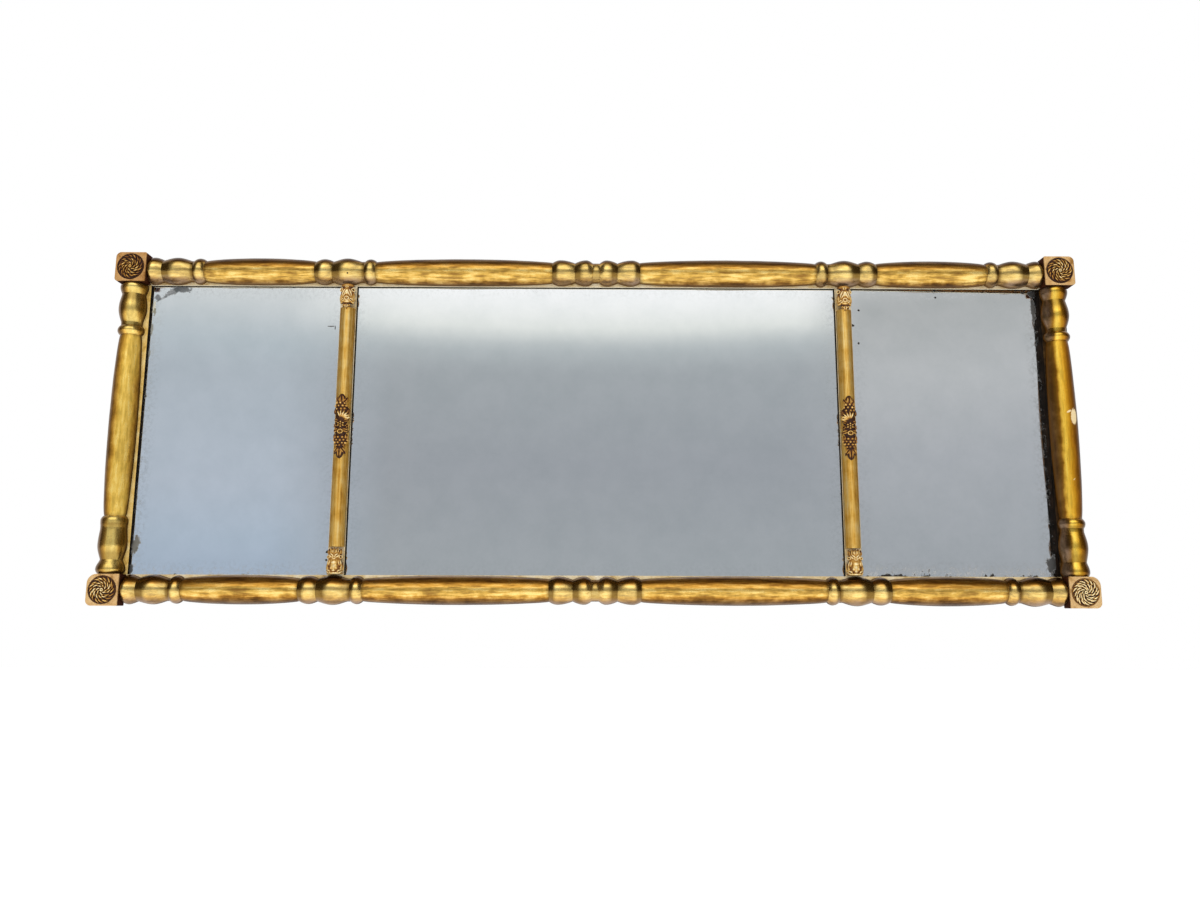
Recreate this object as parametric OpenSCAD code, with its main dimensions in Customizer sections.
// Three-part overmantel mirror: a flat pine frame that carries half-round turned
// columns, corner blocks with rosettes, two slim colonnettes and three mirror plates.
// The origin is the middle of the frame's back. The front faces -Y and +Z is up.

/* [Frame] */
// Width over the corner blocks
overall_w = 1544; // [1300:1:1900]
// Height over the corner blocks
overall_h = 562; // [470:1:760]
// Thickness of the flat frame behind the columns
frame_t = 22; // [20:0.5:28]
// How far the frame's outer edge stands back from the blocks
frame_inset = 8.5; // [6:0.5:10]
// Stile, from the blocks' outer face to the sight edge
stile_w = 49.5; // [46:0.5:60]
// Rail, from the blocks' outer face to the sight edge
rail_w = 48; // [46:0.5:60]
// Width of a muntin's front, between two plates
muntin_w = 26; // [20:0.5:30]
// Length of a muntin's tenon in the rail
tenon_l = 16; // [10:1:24]
// Width of a muntin's tenon
tenon_w = 5; // [4:0.5:6]
// Shoulder in front of a tenon
tenon_front_shoulder = 3; // [2:0.5:4]
// Shoulder behind a tenon
tenon_back_shoulder = 1; // [0.5:0.5:2]

/* [Plates and backboards] */
// Sight width of each outer plate
outer_sight_w = 308; // [260:0.5:420]
// Thickness of the front lip that the plates bear on
lip_t = 5.5; // [3:0.5:5.5]
// Thickness of a mirror plate
plate_t = 3; // [2:0.5:5]
// How far a plate reaches behind the lip
plate_lap = 7; // [5:0.5:8]
// Play round a plate in its rebate
plate_play = 1; // [0.5:0.1:2]
// Thickness of a backboard
board_t = 6; // [4:0.5:8]
// How far a backboard reaches past the sight edge
board_lap = 14; // [11:0.5:18]
// Play round a backboard
board_play = 0.5; // [0.3:0.1:1.5]
// Clearance behind the right plate, which is tipped back in its rebate
tip_play = 0.5; // [0.3:0.1:1]
// Length of a glue block
glue_block_l = 34; // [20:1:60]
// Width of a glue block
glue_block_w = 9; // [6:0.5:12]
// Play behind the right plate's glue blocks
glue_block_play = 0.3; // [0.25:0.05:0.5]

/* [Corner blocks] */
// Side of a corner block
block_size = 48; // [44:0.5:56]
// Thickness of a corner block
block_t = 23; // [22.5:0.5:28]
// Radius of a block's outermost corner
block_corner_r = 9; // [4:0.5:16]
// Radius of a block's outer corner beside the side column
block_side_r = 7; // [1:0.5:12]
// Radius of a block's outer corner beside the rail's column
block_edge_r = 1.5; // [1:0.5:5]
// Diameter of a rosette
rosette_d = 42; // [30:0.5:43]
// Play round a rosette in its turned sinking
rosette_play = 0.6; // [0.3:0.1:1]
// Depth of the turned sinking
sinking_depth = 2; // [1:0.5:4]
// Thickness of a rosette
rosette_t = 4.5; // [3:0.5:7]
// Petals in the outer ring of a rosette
outer_petals = 16; // [10:1:20]
// Petals in the inner ring of a rosette
inner_petals = 12; // [8:1:14]

/* [Columns] */
// Radius of the turned bulbs
bulb_r = 22; // [18:0.5:22.5]
// Radius of the necks between the bulbs
neck_r = 16.8; // [14:0.1:17.5]
// Radius of the rings and beads
ring_r = 20.8; // [18:0.1:22]
// Radius at a shaft's ends
shaft_end_r = 16.4; // [14:0.1:17]
// Radius at a shaft's belly
shaft_r = 21.8; // [18:0.1:22]
// How much greater a rail column's radii are than a side column's
rail_extra_r = 0.9; // [0:0.1:1]
// How far a rail column's axis lies inside the middle of its blocks
rail_axis_in = 1; // [0:0.5:1]
// How far the right column's axis lies inside the middle of its blocks
right_axis_in = 3.5; // [0:0.5:3.5]
// Length of the half bulb beside a block
first_bulb_l = 23; // [16:1:32]
// Length of the second bulb
second_bulb_l = 44; // [32:1:54]
// Length of a ring and its cove
ring_l = 24; // [16:1:30]
// Length of the cove beside a ring
ring_cove_l = 6; // [3:0.5:9]
// Length of the small bulb beside each large bulb
small_bulb_l = 28; // [20:1:34]
// Length of the large bulb near each colonnette
large_bulb_l = 46; // [36:1:56]
// How far the large bulb's middle lies outside its colonnette's
large_bulb_shift = 2.5; // [0:0.5:10]
// Length of each of the four beads at a rail's middle
middle_bead_l = 24.5; // [18:0.5:30]
// Neck between the two beads of a pair
bead_gap_l = 17; // [8:0.5:24]
// Neck between the two pairs
middle_gap_l = 10; // [4:0.5:16]
// Length of the half bulb on a side column
side_first_l = 22; // [16:1:30]
// Length of the second bulb on a side column
side_second_l = 47; // [34:1:56]
// Length of the ring and its cove on a side column
side_ring_l = 24; // [16:1:30]

/* [Colonnettes] */
// Radius of a colonnette's half-round shaft
colonnette_r = 12.2; // [9:0.1:13]
// Height of an upper capital
upper_capital_h = 39; // [30:1:50]
// Height of a lower capital
lower_capital_h = 43; // [30:1:54]
// Greatest width of a lower capital
lower_capital_w = 28; // [24:0.5:32]
// Height of the grape ornament
grape_h = 105; // [80:1:140]
// Width of the grape ornament
grape_w = 25; // [22:0.5:26]
// Radius of a grape
grape_r = 3; // [2:0.1:4]
// Height of the astragal where a capital meets its shaft
astragal_l = 5; // [3:0.5:7]
// Height of an upper capital's abacus
abacus_l = 7; // [4:0.5:10]
// Height of a lower capital's foot
foot_l = 4; // [2:0.5:8]
// Glue line between an ornament and its colonnette
glue_line = 0.1; // [0.05:0.05:0.3]

/* [Hangers] */
// Height of the hangers above the frame's middle
hanger_z = 150; // [80:1:180]
// Width of a hanger's strap
strap_w = 12; // [8:0.5:16]
// Length of a hanger's strap below its barrel
strap_l = 40; // [36:1:56]
// Thickness of a hanger's strap
strap_t = 1.2; // [0.8:0.1:1.2]
// Wall of the barrel that the strap is rolled into
barrel_wall = 1.5; // [1.5:0.1:2]
// Radius of the ring's wire
wire_r = 1.5; // [1.2:0.1:2]
// Radial clearance of the wire in its barrel
barrel_play = 0.06; // [0.02:0.01:0.1]
// Half the ring's width, to the middle of its wire
ring_half_w = 11.5; // [10:0.5:15]
// Bend radius at the ring's upper corners
ring_bend_r = 2.5; // [2:0.5:4]
// Straight drop of the ring's sides
ring_drop = 3; // [1:0.5:6]

/* [Fastenings] */
// Radius of a nail
nail_r = 0.8; // [0.6:0.1:1.2]
// Length of a nail
nail_l = 16; // [12:1:18]
// Radius of a nail's head
nail_head_r = 2.2; // [1.6:0.1:2.5]
// Radius of a block screw
screw_r = 2; // [1.5:0.1:2.5]
// Length of a block screw
screw_l = 34; // [30:1:38]
// Radius of a block screw's head
screw_head_r = 4; // [3:0.1:5]
// Thickness of a screw or nail head
head_t = 0.9; // [0.6:0.1:1.5]
// Drop of the first hanger screw below the barrel
first_screw_drop = 24; // [23:0.5:26]
// Distance between the two hanger screws
screw_pitch = 11; // [7:0.5:24]
// Radius of a hanger screw
strap_screw_r = 1.5; // [1.2:0.1:2]
// Length of a hanger screw in the wood
strap_screw_l = 12; // [8:1:16]
// Radius of a hanger screw's head
strap_head_r = 3; // [2.4:0.1:3.6]
// Play round a nail or screw in its hole
hole_play = 0.05; // [0.02:0.01:0.1]

/* [Hidden] */
$fn = 64;
gilt = "goldenrod";
matt_gilt = "burlywood";
bare_pine = "tan";
over = 1; // how far a cutting shape runs past the face it cuts

frame_w = overall_w - 2 * frame_inset;
frame_h = overall_h - 2 * frame_inset;
sight_x = overall_w / 2 - stile_w;
sight_z = overall_h / 2 - rail_w;
muntin_x = sight_x - outer_sight_w - muntin_w / 2;
web_w = muntin_w - 2 * plate_lap;
rebate_back = -board_t;
plate_front = lip_t - frame_t;
plate_back = plate_front + plate_t;
block_centre_x = (overall_w - block_size) / 2;
block_centre_z = (overall_h - block_size) / 2;
axis_inset = block_size / 2;
half_rail = overall_w / 2 - block_size;
half_side = overall_h / 2 - block_size;
// each bay's sight edges: left end, right end
bays = [[-sight_x, -muntin_x - muntin_w / 2],
        [-muntin_x + muntin_w / 2, muntin_x - muntin_w / 2],
        [muntin_x + muntin_w / 2, sight_x]];
outer_plate_w = outer_sight_w + 2 * (plate_lap - plate_play);
right_plate_inner_x = bays[2][0] - plate_lap + plate_play;
tip_depth = rebate_back - plate_back - tip_play;
tip_angle = asin(tip_depth / outer_plate_w);
strap_x = overall_w / 2 - frame_inset - (stile_w - frame_inset - board_lap) / 2;
barrel_r = wire_r + barrel_play + barrel_wall;

// ---- helpers -------------------------------------------------------------

// A box between two corners
module box(low, high) {
    translate(low) cube(high - low);
}

// Points of one turned swelling between two stations. A low power gives a full,
// round bead, and a high one lets it flow into its necks.
function swelling(from, to, low_r, top_r, power, steps) = [
    for (i = [0:steps])
        let (u = i / steps, s = (1 - cos(180 * u)) / 2)
        [low_r + (top_r - low_r) * pow(sin(180 * s), power), from + (to - from) * s]];

bulb_flow = 1.3;
ring_flow = 0.6;
shaft_flow = 0.8;

function bulb(from, length) = swelling(from, from + length, neck_r, bulb_r, bulb_flow, 12);
function bead(from, length) = swelling(from, from + length, neck_r, ring_r, ring_flow, 8);
function ring(from, length) =
    swelling(from + ring_cove_l, from + length, neck_r, ring_r, ring_flow, 8);
// A bulb whose crown meets a block
function half_bulb(from, length) = [
    for (i = [0:8])
        let (s = sin(90 * i / 8))
        [neck_r + (bulb_r - neck_r) * pow(cos(90 * s), bulb_flow), from + length * s]];
function shaft(from, to) = swelling(from, to, shaft_end_r, shaft_r, shaft_flow, 16);

// A half-round turning on a closed outline of [radius, station] points
module split_turning(points) {
    rotate_extrude(angle = 180)
        polygon(concat([[0, points[0][1]]], points, [[0, points[len(points) - 1][1]]]));
}

// ---- frame ---------------------------------------------------------------

// Room behind the lip for one bay's plate and backboard
module bay_pocket(i) {
    left_lap = i == 0 ? board_lap : plate_lap;
    right_lap = i == 2 ? board_lap : plate_lap;
    box([bays[i][0] - plate_lap, plate_front, -sight_z - plate_lap],
        [bays[i][1] + plate_lap, rebate_back + over, sight_z + plate_lap]);
    box([bays[i][0] - left_lap, rebate_back, -sight_z - board_lap],
        [bays[i][1] + right_lap, over, sight_z + board_lap]);
}

// A tenon, which is also the cut of its mortise
module muntin_tenon(x, side) {
    low_z = side > 0 ? sight_z : -sight_z - tenon_l;
    box([x - tenon_w / 2, plate_front + tenon_front_shoulder, low_z],
        [x + tenon_w / 2, rebate_back - tenon_back_shoulder, low_z + tenon_l]);
}

// A rail: its ends keep only their front half, where they lap the stiles
module rail(side) {
    low_z = side > 0 ? sight_z : -frame_h / 2;
    high_z = side > 0 ? frame_h / 2 : -sight_z;
    color(bare_pine) difference() {
        box([-frame_w / 2, -frame_t, low_z], [frame_w / 2, 0, high_z]);
        for (x = [-1, 1]) {
            translate([x * (sight_x + frame_w / 2) / 2, 0, 0])
                box([-(frame_w / 2 - sight_x) / 2 - (x < 0 ? over : 0), -frame_t / 2, low_z - over],
                    [(frame_w / 2 - sight_x) / 2 + (x > 0 ? over : 0), over, high_z + over]);
            muntin_tenon(x * muntin_x, side);
        }
        for (i = [0:2]) bay_pocket(i);
        nails(hole_play);
        block_screw_set(hole_play);
    }
}

// A stile: its ends keep only their back half
module stile(side) {
    low_x = side > 0 ? sight_x : -frame_w / 2;
    high_x = side > 0 ? frame_w / 2 : -sight_x;
    color(bare_pine) difference() {
        box([low_x, -frame_t, -frame_h / 2], [high_x, 0, frame_h / 2]);
        box([low_x - over, -frame_t - over, sight_z], [high_x + over, -frame_t / 2, frame_h]);
        box([low_x - over, -frame_t - over, -frame_h], [high_x + over, -frame_t / 2, -sight_z]);
        for (i = [0:2]) bay_pocket(i);
        nails(hole_play);
        block_screw_set(hole_play);
        strap_screw_pair(side, hole_play);
    }
}

// A muntin: a front lip for two plates, a web between them and two tenons
module muntin(side) {
    x = side * muntin_x;
    color(bare_pine) union() {
        box([x - muntin_w / 2, -frame_t, -sight_z], [x + muntin_w / 2, plate_front, sight_z]);
        box([x - web_w / 2, plate_front, -sight_z], [x + web_w / 2, 0, sight_z]);
        for (z = [-1, 1]) muntin_tenon(x, z);
    }
}

// ---- columns and blocks --------------------------------------------------

// Half of a rail's outline, from a block to the neck at the rail's middle
function rail_outline() =
    let (first = -half_rail,
         second = first + first_bulb_l,
         third = second + second_bulb_l,
         large = -muntin_x - large_bulb_shift - large_bulb_l / 2,
         small = large - small_bulb_l,
         narrow = large + large_bulb_l,
         inner_bead = -middle_gap_l / 2 - middle_bead_l,
         outer_bead = inner_bead - bead_gap_l - middle_bead_l)
    concat(half_bulb(first, first_bulb_l), bulb(second, second_bulb_l), ring(third, ring_l),
           shaft(third + ring_l, small), bead(small, small_bulb_l),
           bulb(large, large_bulb_l), ring(narrow, ring_l),
           shaft(narrow + ring_l, outer_bead), bead(outer_bead, middle_bead_l),
           bead(inner_bead, middle_bead_l));

// Half of a side column's outline, from a block to the column's middle
function side_outline() =
    let (first = -half_side,
         second = first + side_first_l,
         third = second + side_second_l,
         all_of_shaft = shaft(third + side_ring_l, -third - side_ring_l))
    concat(half_bulb(first, side_first_l), bulb(second, side_second_l),
           ring(third, side_ring_l),
           [for (p = all_of_shaft) if (p[1] < 0) p]);

function mirrored(points) = [for (i = [len(points) - 1:-1:0]) [points[i][0], -points[i][1]]];

module rail_column(side) {
    half = rail_outline();
    color(gilt)
        translate([0, -frame_t, side * (block_centre_z - rail_axis_in)])
            rotate([0, 90, 0]) rotate([0, 0, 180])
                split_turning([for (p = concat(half, mirrored(half)))
                               [p[0] + rail_extra_r, p[1]]]);
}

module side_column(side) {
    half = side_outline();
    axis_x = side * block_centre_x - (side > 0 ? right_axis_in : 0);
    color(gilt)
        translate([axis_x, -frame_t, 0])
            rotate([0, 0, 180])
                split_turning(concat(half, [[shaft_r, 0]], mirrored(half)));
}

// What a rounded corner of radius r loses
module corner_waste(r) {
    difference() {
        square(r + over);
        circle(r);
    }
}

// A corner block with its outer corners rounded and a turned sinking
module corner_block(x, z) {
    half = block_size / 2;
    color(matt_gilt)
        translate([x * block_centre_x, -frame_t, z * block_centre_z])
            rotate([90, 0, 0]) difference() {
                linear_extrude(block_t) scale([x, z]) difference() {
                    square(block_size, center = true);
                    translate([half - block_corner_r, half - block_corner_r])
                        corner_waste(block_corner_r);
                    translate([half - block_side_r, block_side_r - half])
                        rotate(-90) corner_waste(block_side_r);
                    translate([block_edge_r - half, half - block_edge_r])
                        rotate(90) corner_waste(block_edge_r);
                }
                translate([0, 0, block_t - sinking_depth])
                    cylinder(h = sinking_depth + over, r = rosette_d / 2 + rosette_play);
                translate([0, 0, -over])
                    cylinder(h = screw_l - frame_t + over, r = screw_r + hole_play);
            }
}

// One leaf-shaped petal, where two discs cross, set aslant to its radius
module petal(inner_r, outer_r, width, height) {
    slant = 40;
    half_l = (outer_r - inner_r) / 2 / cos(slant);
    arc_r = (half_l * half_l + width * width / 4) / width;
    linear_extrude(height)
        translate([(inner_r + outer_r) / 2, 0]) rotate(slant) intersection() {
            translate([0, arc_r - width / 2]) circle(arc_r);
            translate([0, width / 2 - arc_r]) circle(arc_r);
        }
}

// A pinwheel flower: two rings of curved petals round a button
module rosette(x, z) {
    rosette_r = rosette_d / 2;
    base_t = rosette_t - 2.1;
    button_r = rosette_r * 0.15;
    inner_from = rosette_r * 0.25;
    inner_to = rosette_r * 0.54;
    outer_from = rosette_r * 0.58;
    outer_to = rosette_r * 0.95;
    outer_petal_w = PI * (outer_from + outer_to) / outer_petals * 0.6;
    inner_petal_w = PI * (inner_from + inner_to) / inner_petals * 0.55;
    outer_petal_t = rosette_t - 0.6;
    inner_petal_t = rosette_t - 0.2;
    color(gilt)
        translate([x * block_centre_x, -frame_t - block_t + sinking_depth, z * block_centre_z])
            rotate([90, 0, 0]) {
                cylinder(h = base_t, r = rosette_r);
                for (i = [1:outer_petals])
                    rotate(360 * i / outer_petals)
                        petal(outer_from, outer_to, outer_petal_w, outer_petal_t);
                for (i = [1:inner_petals])
                    rotate(360 * i / inner_petals)
                        petal(inner_from, inner_to, inner_petal_w, inner_petal_t);
                cylinder(h = rosette_t, r = button_r);
            }
}

// ---- colonnettes and their ornaments ------------------------------------

astragal_r = colonnette_r + 0.8;
bell_r = colonnette_r + 1.8;
abacus_bevel = 1;

module colonnette(side) {
    color(gilt)
        translate([side * muntin_x, -frame_t, 0])
            rotate([0, 0, 180])
                split_turning([[colonnette_r, -sight_z + lower_capital_h],
                               [colonnette_r, sight_z - upper_capital_h]]);
}

// A capital under the top rail: an abacus, a leafy bell and an astragal
module upper_capital(side) {
    color(gilt)
        translate([side * muntin_x, -frame_t, sight_z - upper_capital_h])
            rotate([0, 0, 180])
                split_turning(concat(
                    swelling(0, astragal_l, colonnette_r, astragal_r, ring_flow, 6),
                    swelling(astragal_l, upper_capital_h - abacus_l - abacus_bevel,
                             colonnette_r, astragal_r, shaft_flow, 10),
                    [[astragal_r, upper_capital_h - abacus_l], [astragal_r, upper_capital_h]]));
}

// A capital on the bottom rail, which spreads to its foot
module lower_capital(side) {
    foot_r = lower_capital_w / 2;
    color(gilt)
        translate([side * muntin_x, -frame_t, -sight_z])
            rotate([0, 0, 180])
                split_turning(concat(
                    [[foot_r, 0], [foot_r, foot_l]],
                    swelling(foot_l, lower_capital_h - astragal_l, colonnette_r, bell_r,
                             shaft_flow, 10),
                    swelling(lower_capital_h - astragal_l, lower_capital_h, colonnette_r,
                             astragal_r, ring_flow, 6)));
}

// Grapes in rows that narrow to a point, on the face of a half-round
module grapes(top_z) {
    rows = [3, 4, 3, 2, 1];
    grape_turn = 29;
    row_pitch = grape_r * 1.7;
    grape_seat_r = colonnette_r + 0.6;
    for (i = [0:len(rows) - 1])
        for (k = [0:rows[i] - 1])
            rotate([0, 0, (k - (rows[i] - 1) / 2) * grape_turn])
                translate([0, -grape_seat_r, top_z - i * row_pitch])
                    sphere(grape_r);
}

// A leaf, shell and grape ornament that saddles a colonnette
module grape_ornament(side) {
    skin_t = 1.5;
    upper_grapes_z = grape_h * 0.3;
    lower_grapes_z = -grape_h * 0.12;
    // half the leaf's outline: half width and height, from its tip to its middle
    tip = [0, grape_h / 2];
    shoulder = [grape_w * 0.22, grape_h * 0.42];
    side_bend = [grape_w * 0.4, grape_h * 0.3];
    waist = [grape_w / 2, 0];
    color(gilt)
        translate([side * muntin_x, -frame_t, 0]) difference() {
            union() {
                intersection() {
                    cylinder(h = grape_h, r = colonnette_r + skin_t, center = true);
                    rotate([90, 0, 0]) linear_extrude(2 * colonnette_r)
                        for (x = [0, 1], z = [0, 1]) mirror([x, 0]) mirror([0, z])
                            polygon([[0, 0], tip, shoulder, side_bend, waist]);
                }
                grapes(upper_grapes_z);
                grapes(lower_grapes_z);
            }
            cylinder(h = grape_h + 2 * over, r = colonnette_r + glue_line, center = true);
            box([-grape_w, 0, -grape_h], [grape_w, grape_w, grape_h]);
        }
}

// ---- plates, slips, glue blocks and boards -------------------------------

module flat_plate(i) {
    color("lightsteelblue")
        box([bays[i][0] - plate_lap + plate_play, plate_front, -sight_z - plate_lap + plate_play],
            [bays[i][1] + plate_lap - plate_play, plate_back, sight_z + plate_lap - plate_play]);
}

// The right plate, tipped back about its inner edge
module right_plate() {
    half_h = sight_z + plate_lap - plate_play;
    color("lightsteelblue")
        translate([right_plate_inner_x, plate_front, 0])
            rotate([0, 0, tip_angle])
                box([0, 0, -half_h], [outer_plate_w, plate_t, half_h]);
}

// The slip that packs the right plate's outer edge off the lip
module right_plate_slip() {
    room = (sight_x - right_plate_inner_x) * tan(tip_angle);
    color(bare_pine)
        box([sight_x, plate_front, -sight_z], [sight_x + plate_lap, plate_front + room, sight_z]);
}

// A bevelled glue block that lies along +X with its back in the corner of a rebate
module glue_block(height) {
    color(bare_pine)
        rotate([90, 0, 90]) linear_extrude(glue_block_l, center = true)
            polygon([[0, 0], [height, 0], [height, glue_block_w / 2], [height / 3, glue_block_w],
                     [0, glue_block_w]]);
}

// Blocks along the top and bottom of one bay, and down an outer stile
module bay_glue_blocks(i, count) {
    height = rebate_back - plate_back;
    middle = (bays[i][0] + bays[i][1]) / 2;
    pitch = (bays[i][1] - bays[i][0] - glue_block_l) / count;
    for (k = [0:count - 1], z = [-1, 1])
        translate([middle + (k - (count - 1) / 2) * pitch, plate_back, z * (sight_z + plate_lap)])
            rotate([0, z > 0 ? 180 : 0, 0]) glue_block(height);
}

// Blocks beside the right muntin, where the tipped plate leaves room for them
module right_glue_blocks() {
    for (z = [-sight_z / 2, sight_z / 2])
        translate([bays[2][0] - plate_lap, plate_back + glue_block_play, z])
            rotate([0, 90, 0]) glue_block(rebate_back - plate_back - glue_block_play);
}

module backboard(i) {
    left_lap = (i == 0 ? board_lap : plate_lap) - board_play;
    right_lap = (i == 2 ? board_lap : plate_lap) - board_play;
    half_h = sight_z + board_lap - board_play;
    color(bare_pine) difference() {
        box([bays[i][0] - left_lap, rebate_back, -half_h], [bays[i][1] + right_lap, 0, half_h]);
        nails(hole_play);
    }
}

// ---- fastenings ----------------------------------------------------------

// A flat-headed nail or screw driven along -Y, with its head's top at the origin
module fastening(r, length, head_r, head_h, play) {
    rotate([90, 0, 0]) {
        cylinder(h = length, r = r + play);
        translate([0, 0, play > 0 ? -over : 0])
            cylinder(h = head_h + (play > 0 ? over : 0), r = head_r + play);
    }
}

// The nails round each backboard's edge. With play they are the nails' holes.
module nails(play) {
    ledge = (plate_lap + board_lap) / 2;
    counts = [3, 5, 3];
    color("dimgray") {
        for (i = [0:2], k = [0:counts[i] - 1], z = [-1, 1]) {
            pitch = (bays[i][1] - bays[i][0]) / counts[i];
            translate([bays[i][0] + (k + 0.5) * pitch, 0, z * (sight_z + ledge)])
                fastening(nail_r, nail_l, nail_head_r, head_t, play);
        }
        for (x = [-1, 1], z = [-0.5, 0.5])
            translate([x * (sight_x + ledge), 0, z * sight_z])
                fastening(nail_r, nail_l, nail_head_r, head_t, play);
    }
}

// One screw from the back through each corner lap into its block
module block_screw_set(play) {
    color("dimgray")
        for (x = [-1, 1], z = [-1, 1])
            translate([x * block_centre_x, 0, z * block_centre_z])
                fastening(screw_r, screw_l, screw_head_r, head_t, play);
}

// Two screws through one hanger's strap
module strap_screw_pair(side, play) {
    color("dimgray")
        for (drop = [first_screw_drop, first_screw_drop + screw_pitch])
            translate([side * strap_x, strap_t, hanger_z - drop]) {
                rotate([90, 0, 0]) cylinder(h = strap_screw_l + strap_t, r = strap_screw_r + play);
                if (play == 0)
                    rotate([-90, 0, 0]) cylinder(h = head_t, r = strap_head_r);
            }
}

// ---- hangers -------------------------------------------------------------

// A brass strap whose upper end is rolled into the ring's barrel
module hanger_strap(side) {
    color("darkgoldenrod") difference() {
        union() {
            translate([side * strap_x, 0, hanger_z])
                box([-strap_w / 2, 0, -strap_l], [strap_w / 2, strap_t, 0]);
            translate([side * strap_x, barrel_r, hanger_z])
                rotate([0, 90, 0]) cylinder(h = strap_w, r = barrel_r, center = true);
        }
        translate([side * strap_x, barrel_r, hanger_z])
            rotate([0, 90, 0])
                cylinder(h = strap_w + 2 * over, r = wire_r + barrel_play, center = true);
        strap_screw_pair(side, hole_play);
    }
}

// A wire ring with a straight bar in the barrel and a round bow below it
module hanger_ring(side) {
    bar_half = ring_half_w - ring_bend_r;
    color("darkgoldenrod")
        translate([side * strap_x, barrel_r, hanger_z]) {
            rotate([0, 90, 0]) cylinder(h = 2 * bar_half, r = wire_r, center = true);
            for (x = [-1, 1]) {
                translate([x * bar_half, 0, -ring_bend_r])
                    rotate([90, 0, 0]) rotate(x > 0 ? 0 : 90)
                        rotate_extrude(angle = 90) translate([ring_bend_r, 0]) circle(wire_r);
                translate([x * ring_half_w, 0, -ring_bend_r - ring_drop])
                    cylinder(h = ring_drop, r = wire_r);
            }
            translate([0, 0, -ring_bend_r - ring_drop])
                rotate([90, 0, 0]) rotate(180)
                    rotate_extrude(angle = 180) translate([ring_half_w, 0]) circle(wire_r);
        }
}

rail(1);  // top_rail
rail(-1);  // bottom_rail
stile(-1);  // left_stile
stile(1);  // right_stile
muntin(-1);  // left_muntin
muntin(1);  // right_muntin
rail_column(1);  // top_column
rail_column(-1);  // bottom_column
side_column(-1);  // left_column
side_column(1);  // right_column
corner_block(-1, 1);  // corner_block_top_left
corner_block(1, 1);  // corner_block_top_right
corner_block(-1, -1);  // corner_block_bottom_left
corner_block(1, -1);  // corner_block_bottom_right
rosette(-1, 1);  // rosette_top_left
rosette(1, 1);  // rosette_top_right
rosette(-1, -1);  // rosette_bottom_left
rosette(1, -1);  // rosette_bottom_right
colonnette(-1);  // left_colonnette
colonnette(1);  // right_colonnette
upper_capital(-1);  // upper_capital_left
upper_capital(1);  // upper_capital_right
lower_capital(-1);  // lower_capital_left
lower_capital(1);  // lower_capital_right
grape_ornament(-1);  // grape_ornament_left
grape_ornament(1);  // grape_ornament_right
flat_plate(0);  // left_plate
flat_plate(1);  // centre_plate
right_plate();
right_plate_slip();
bay_glue_blocks(0, 3);  // left_glue_blocks
bay_glue_blocks(1, 5);  // centre_glue_blocks
right_glue_blocks();
backboard(0);  // left_backboard
backboard(1);  // centre_backboard
backboard(2);  // right_backboard
nails(0);  // backboard_nails
block_screw_set(0);  // block_screws
hanger_strap(-1);  // left_hanger_strap
hanger_strap(1);  // right_hanger_strap
hanger_ring(-1);  // left_hanger_ring
hanger_ring(1);  // right_hanger_ring
union() {  // hanger_screws
    strap_screw_pair(-1, 0);
    strap_screw_pair(1, 0);
}
